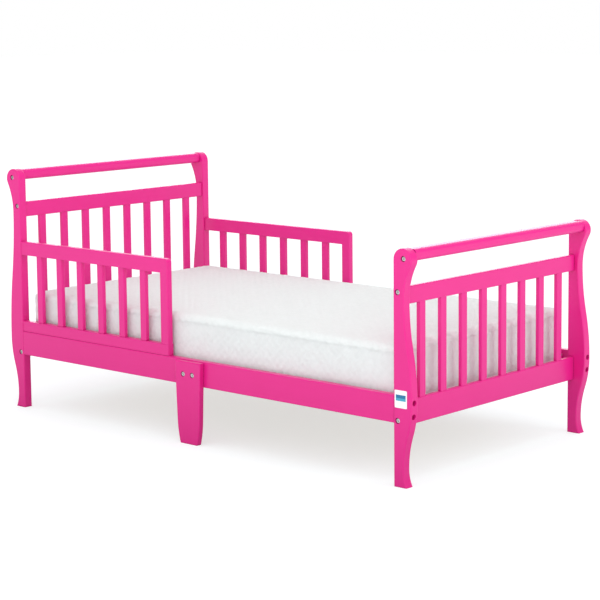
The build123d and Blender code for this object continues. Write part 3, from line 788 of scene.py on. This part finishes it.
def embossing_tree():
    """Geometry nodes: presses a swaying lattice, soft ripples and a few creases into the cover."""
    tree = bpy.data.node_groups.new("Embossed cover", "GeometryNodeTree")
    face = tree.interface
    face.new_socket("Cover", in_out="INPUT", socket_type="NodeSocketGeometry")
    for title in ("Pitch", "Depth", "Ripple size", "Ripple depth",
                  "Fold turn", "Fold gap", "Fold depth", "Fold reach"):
        face.new_socket(title, in_out="INPUT", socket_type="NodeSocketFloat")
    face.new_socket("Fold place", in_out="INPUT", socket_type="NodeSocketVector")
    face.new_socket("Fabric", in_out="INPUT", socket_type="NodeSocketMaterial")
    face.new_socket("Cover", in_out="OUTPUT", socket_type="NodeSocketGeometry")
    start, end = tree.nodes.new("NodeGroupInput"), tree.nodes.new("NodeGroupOutput")
    position = add(tree, "GeometryNodeInputPosition").outputs["Position"]
    normal = add(tree, "GeometryNodeInputNormal").outputs["Normal"]
    place = add(tree, "ShaderNodeSeparateXYZ", {"Vector": position})
    tilt = add(tree, "ShaderNodeSeparateXYZ", {"Vector": normal})
    lean = [math_node(tree, "ABSOLUTE", tilt.outputs[i]) for i in range(3)]
    flat = math_node(tree, "GREATER_THAN", lean[2], top_facing)
    end_face = math_node(tree, "GREATER_THAN", lean[0], lean[1])
    x, y, z = (place.outputs[i] for i in range(3))

    def pick(chooser, first, second):
        made = add(tree, "ShaderNodeMix", {0: chooser, 2: first, 3: second}, data_type="FLOAT")
        return made.outputs[0]

    across = pick(flat, pick(end_face, x, y), x)
    along = pick(flat, z, y)
    pitch = start.outputs["Pitch"]
    u = math_node(tree, "DIVIDE", across, pitch)
    v = math_node(tree, "DIVIDE", along, pitch)
    sway = math_chain(tree, v, ("MULTIPLY", math.tau), ("SINE", 0.0), ("MULTIPLY", lattice_sway))
    u = math_node(tree, "ADD", u, sway)
    lines = []
    for sign in ("ADD", "SUBTRACT"):
        slope = math_node(tree, sign, u, v)
        lines.append(math_chain(tree, slope, ("MULTIPLY", math.pi), ("SINE", 0.0),
                                ("ABSOLUTE", 0.0), ("POWER", lattice_sharp)))
    lattice = math_node(tree, "MULTIPLY", lines[0], lines[1])
    hollow = math_chain(tree, lattice, ("SUBTRACT", 1.0))
    press = math_node(tree, "MULTIPLY", hollow, start.outputs["Depth"])
    ripple_scale = math_node(tree, "DIVIDE", 1.0, start.outputs["Ripple size"])
    ripple = add(tree, "ShaderNodeTexNoise", {"Vector": position, "Scale": ripple_scale, "Detail": 2.0,
                                              "Distortion": 0.8})
    soft = math_node(tree, "MULTIPLY", math_chain(tree, ripple.outputs["Fac"], ("SUBTRACT", 0.5)),
                     start.outputs["Ripple depth"])
    total = math_node(tree, "ADD", press, soft)
    from_fold = add(tree, "ShaderNodeVectorMath", {0: position, 1: start.outputs["Fold place"]},
                    operation="SUBTRACT")
    turn_back = math_node(tree, "MULTIPLY", start.outputs["Fold turn"], -1.0)
    turned = add(tree, "ShaderNodeVectorRotate",
                 {"Vector": from_fold.outputs["Vector"], "Angle": turn_back},
                 rotation_type="Z_AXIS").outputs["Vector"]
    along_fold = add(tree, "ShaderNodeSeparateXYZ", {"Vector": turned})
    wander = math_node(tree, "MULTIPLY", math_chain(tree, ripple.outputs["Fac"], ("SUBTRACT", 0.5)),
                       start.outputs["Fold gap"])
    across_fold = math_node(tree, "DIVIDE", math_node(tree, "ADD", along_fold.outputs["X"], wander),
                            start.outputs["Fold gap"])
    crease = math_chain(tree, across_fold, ("MULTIPLY", math.pi), ("SINE", 0.0), ("ABSOLUTE", 0.0))
    crease = math_chain(tree, math_node(tree, "SUBTRACT", 1.0, crease), ("POWER", fold_sharp))
    gone = add(tree, "ShaderNodeVectorMath", {0: from_fold.outputs["Vector"]},
               operation="LENGTH").outputs["Value"]
    fade = add(tree, "ShaderNodeMapRange",
               {"Value": gone, "From Max": start.outputs["Fold reach"], "To Min": 1.0, "To Max": 0.0},
               interpolation_type="SMOOTHSTEP").outputs["Result"]
    crease = math_node(tree, "MULTIPLY", crease, fade)
    crease = math_node(tree, "MULTIPLY", crease, start.outputs["Fold depth"])
    total = math_node(tree, "SUBTRACT", total, crease)
    resting = math_node(tree, "LESS_THAN", tilt.outputs["Z"], rest_facing)
    total = math_node(tree, "MULTIPLY", total, math_node(tree, "SUBTRACT", 1.0, resting))
    offset = add(tree, "ShaderNodeVectorMath", {0: normal, "Scale": total},
                 operation="SCALE").outputs["Vector"]
    pressed = add(tree, "GeometryNodeSetPosition", {"Geometry": start.outputs["Cover"], "Offset": offset})
    real = add(tree, "GeometryNodeRealizeInstances", {"Geometry": pressed.outputs["Geometry"]})
    dyed = add(tree, "GeometryNodeSetMaterial",
               {"Geometry": real.outputs["Geometry"], "Material": start.outputs["Fabric"]})
    tree.links.new(dyed.outputs["Geometry"], end.inputs["Cover"])
    return tree


def knit_cover():
    """White knit: rows of small loops, sunken patches painted a little darker as painted shade of the emboss,
    and a soft sheen.
    """
    made, tree, shader, coords = new_material("white_knit_cover")
    phase = add(tree, "ShaderNodeVectorMath", {0: coords, "Scale": math.tau / knit_pitch},
                operation="SCALE")
    parts = add(tree, "ShaderNodeSeparateXYZ", {"Vector": phase.outputs["Vector"]})
    waves = [math_node(tree, "SINE", parts.outputs[i]) for i in range(3)]
    loops = math_node(tree, "MULTIPLY", waves[0], waves[1])
    for i, j in ((1, 2), (2, 0)):
        loops = math_node(tree, "ADD", loops, math_node(tree, "MULTIPLY", waves[i], waves[j]))
    tooth = add(tree, "ShaderNodeGroup", node_tree=fine_tooth)
    tree.links.new(coords, tooth.inputs["Vector"])
    tooth.inputs["Per metre"].default_value = lint_per_metre
    blotch = add(tree, "ShaderNodeTexNoise", {"Vector": coords, "Scale": 1 / blotch_size, "Detail": 2.0,
                                              "Distortion": blotch_twist}).outputs["Fac"]
    # Painted shade: the sunken patches of the emboss are coloured darker, as if shaded.
    sunken = stretched(tree, blotch, *blotch_painted_shade_range)
    tree.links.new(mixed(tree, sunken, cover_white, cover_painted_shade), shader.inputs["Base Color"])
    tree.links.new(scaled(tree, tooth.outputs["Mottle"], *cover_roughness), shader.inputs["Roughness"])
    shader.inputs["Sheen Weight"].default_value = cover_sheen
    shader.inputs["Sheen Roughness"].default_value = sheen_roughness
    bumped(tree, shader, [(blotch, blotch_height), (loops, knit_height),
                          (tooth.outputs["Height"], lint_height)])
    return made


cover_fabric = knit_cover()
cover = remeshed_core()
cover, cover_rest = swollen(cover)
capped(cover, cover_rest)
smooth = cover.modifiers.new("smooth", "SUBSURF")
smooth.levels = smooth.render_levels = 1
press = cover.modifiers.new("emboss", "NODES")
press.node_group = embossing_tree()
set_input(press, "Pitch", emboss_pitch)
set_input(press, "Depth", emboss_depth)
set_input(press, "Ripple size", ripple_size)
set_input(press, "Ripple depth", ripple_depth)
set_input(press, "Fold place", fold_place)
set_input(press, "Fold turn", fold_turn)
set_input(press, "Fold gap", fold_gap)
set_input(press, "Fold depth", fold_depth)
set_input(press, "Fold reach", fold_reach)
set_input(press, "Fabric", cover_fabric)
cover = frozen(cover, "mattress_cover")
cover.data.polygons.foreach_set("use_smooth", [True] * len(cover.data.polygons))
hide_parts("mattress")
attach(cover, "mattress")


# ---- Mattress seams
# A thin welt of the cover's own fabric, sewn in all round where the top, side and bottom panels
# meet.
welt_radius = 0.0008
welt_sink = 0.0003
seam_points = 400
welt_sides = 8


def seam_path(piece, height, lift):
    """Points round the cover at a height, found from outside, a little outside its surface."""
    tree = BVHTree.FromObject(piece, bpy.context.evaluated_depsgraph_get())
    half = mattress_size / 2
    reach = half.length
    points = []
    for i in range(seam_points):
        angle = 2 * math.pi * i / seam_points
        way = Vector((half.x * math.cos(angle), half.y * math.sin(angle), 0))
        start = Vector((mattress_centre.x, mattress_centre.y, height)) + way.normalized() * reach
        hit, normal, _, _ = tree.ray_cast(start, -way.normalized())
        points.append(hit + normal * lift)
    return points


def welt_tree():
    """Geometry nodes: a round cord along a closed path."""
    tree = bpy.data.node_groups.new("Sewn welt", "GeometryNodeTree")
    face = tree.interface
    face.new_socket("Path", in_out="INPUT", socket_type="NodeSocketGeometry")
    face.new_socket("Radius", in_out="INPUT", socket_type="NodeSocketFloat")
    face.new_socket("Fabric", in_out="INPUT", socket_type="NodeSocketMaterial")
    face.new_socket("Welt", in_out="OUTPUT", socket_type="NodeSocketGeometry")
    start, end = tree.nodes.new("NodeGroupInput"), tree.nodes.new("NodeGroupOutput")
    path = add(tree, "GeometryNodeMeshToCurve", {"Mesh": start.outputs["Path"]})
    section = add(tree, "GeometryNodeCurvePrimitiveCircle",
                  {"Resolution": welt_sides, "Radius": start.outputs["Radius"]})
    tube = add(tree, "GeometryNodeCurveToMesh",
               {"Curve": path.outputs["Curve"], "Profile Curve": section.outputs["Curve"]})
    real = add(tree, "GeometryNodeRealizeInstances", {"Geometry": tube.outputs["Mesh"]})
    dyed = add(tree, "GeometryNodeSetMaterial",
               {"Geometry": real.outputs["Geometry"], "Material": start.outputs["Fabric"]})
    tree.links.new(dyed.outputs["Geometry"], end.inputs["Welt"])
    return tree


sewn_welt = welt_tree()
for side, height in zip(("lower", "upper"), seam_heights):
    ring = seam_path(cover, height, welt_radius - welt_sink)
    path = bpy.data.meshes.new(f"{side}_seam")
    path.from_pydata(ring, [(i, (i + 1) % seam_points) for i in range(seam_points)], [])
    holder = linked(f"{side}_seam", path)
    modifier = holder.modifiers.new("welt", "NODES")
    modifier.node_group = sewn_welt
    set_input(modifier, "Radius", welt_radius)
    set_input(modifier, "Fabric", cover_fabric)
    welt = frozen(holder, f"mattress_{side}_welt")
    welt.data.polygons.foreach_set("use_smooth", [True] * len(welt.data.polygons))
    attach(welt, "mattress")


# ---- Floor, light and camera
# A pale floor with a painted glow, as a lit studio sweep has, that the camera sees dimmer near the
# bed as a painted shadow round it; the glow it casts on the bed is weaker near the bed too. A soft
# light overhead, a fill from the camera's side and a small light off the foot end.
floor_half = 30.0
floor_colour = (0.45, 0.50, 0.51, 1.0)
# Glow the camera sees near the bed and far from it: dimmer near the bed as a painted shadow.
glow_seen_painted_shadow = (0.57, 0.62)
glow_cast = (0.18, 1.0)
glow_mirrored = 0.35
glow_reach = 0.9
sky_seen = 1.0
sky_cast = 0.98
sky_mirrored = (0.30, 3.0)
backdrop = (-0.66, 0.75, 0.0)
backdrop_edge = (0.55, 0.95)
key_power = 17.0
key_size = 3.0
key_place = (0.5, -0.5, 2.4)
fill_power = 17.0
fill_size = 1.8
fill_place = (2.5, -2.9, 1.7)
foot_power = 9.0
foot_size = 0.9
foot_place = (2.9, 0.7, 1.5)
bed_middle = (0, 0, 0.35)
camera_place = Vector((3.3216, -3.6164, 1.1165))
camera_turn = 41.66
camera_dip = 6.94
camera_roll = -0.51
camera_lens = 110.08
camera_shift = (-0.0274, -0.1178)

floor_mesh = bpy.data.meshes.new("studio_floor")
corners = [(x * floor_half, y * floor_half, 0) for x, y in ((-1, -1), (1, -1), (1, 1), (-1, 1))]
floor_mesh.from_pydata(corners, [], [(0, 1, 2, 3)])
floor = linked("studio_floor", floor_mesh)
sweep, sweep_tree, sweep_shader, sweep_coords = new_material("studio_sweep")
sweep_shader.inputs["Base Color"].default_value = floor_colour
sweep_shader.inputs["Roughness"].default_value = 1.0
sweep_shader.inputs["Specular IOR Level"].default_value = 0.0
sweep_shader.inputs["Emission Color"].default_value = (1, 1, 1, 1)
half_bed = (cad_high - cad_low) / 2
spread = add(sweep_tree, "ShaderNodeVectorMath", {0: sweep_coords}, operation="ABSOLUTE").outputs["Vector"]
beyond = add(sweep_tree, "ShaderNodeVectorMath", {0: spread, 1: half_bed}, operation="SUBTRACT")
beyond = add(sweep_tree, "ShaderNodeVectorMath", {0: beyond.outputs["Vector"], 1: (0, 0, 0)},
             operation="MAXIMUM")
away = add(sweep_tree, "ShaderNodeVectorMath", {0: beyond.outputs["Vector"]}, operation="LENGTH")
far = add(sweep_tree, "ShaderNodeMapRange", {"Value": away.outputs["Value"], "From Max": glow_reach},
          interpolation_type="SMOOTHSTEP").outputs["Result"]
path = add(sweep_tree, "ShaderNodeLightPath").outputs
dimmed = scaled(sweep_tree, path["Is Glossy Ray"], 1.0, glow_mirrored)
cast = math_node(sweep_tree, "MULTIPLY", scaled(sweep_tree, far, *glow_cast), dimmed)
# Painted shadow: the glow the camera sees fades down towards the bed over glow_reach.
shown = scaled(sweep_tree, far, *glow_seen_painted_shadow)
strength = scaled(sweep_tree, path["Is Camera Ray"], cast, shown)
sweep_tree.links.new(strength, sweep_shader.inputs["Emission Strength"])
floor_mesh.materials.append(sweep)

world = bpy.data.worlds.new("studio")
bpy.context.scene.world = world
world.use_nodes = True
sky = world.node_tree
glow = sky.nodes["Background"]
ray = add(sky, "ShaderNodeLightPath").outputs
glow.inputs["Color"].default_value = (1, 1, 1, 1)
heading = add(sky, "ShaderNodeTexCoord").outputs["Generated"]
facing = add(sky, "ShaderNodeVectorMath", {0: heading, 1: backdrop},
             operation="DOT_PRODUCT").outputs["Value"]
lit = scaled(sky, stretched(sky, facing, *backdrop_edge), *sky_mirrored)
unseen = scaled(sky, ray["Is Glossy Ray"], sky_cast, lit)
sky.links.new(scaled(sky, ray["Is Camera Ray"], unseen, sky_seen), glow.inputs["Strength"])


def soft_light(name, power, size, place, target):
    """Square area light at a place, turned to a target."""
    lamp = bpy.data.lights.new(name, "AREA")
    lamp.energy = power
    lamp.size = size
    made = linked(name, lamp)
    made.location = place
    made.rotation_euler = (Vector(place) - Vector(target)).to_track_quat("Z", "Y").to_euler()
    return made


soft_light("overhead_softbox", key_power, key_size, key_place, bed_middle)
soft_light("front_fill", fill_power, fill_size, fill_place, bed_middle)
soft_light("foot_side_light", foot_power, foot_size, foot_place, bed_middle).visible_glossy = False

turn, dip, roll = (math.radians(angle) for angle in (camera_turn, camera_dip, camera_roll))
ahead = Vector((-math.sin(turn) * math.cos(dip), math.cos(turn) * math.cos(dip), -math.sin(dip)))
right = Vector((math.cos(turn), math.sin(turn), 0))
upright = right.cross(ahead)
camera_x = right * math.cos(roll) + upright * math.sin(roll)
camera_y = -right * math.sin(roll) + upright * math.cos(roll)
camera = linked("camera", bpy.data.cameras.new("camera"))
axes = Matrix((camera_x, camera_y, -ahead)).transposed().to_4x4()
camera.matrix_world = Matrix.Translation(camera_place) @ axes
camera.data.lens = camera_lens
camera.data.sensor_width = 36.0
camera.data.shift_x, camera.data.shift_y = camera_shift
camera.data.clip_end = 200.0
bpy.context.scene.camera = camera
bpy.context.scene.view_settings.view_transform = "Standard"
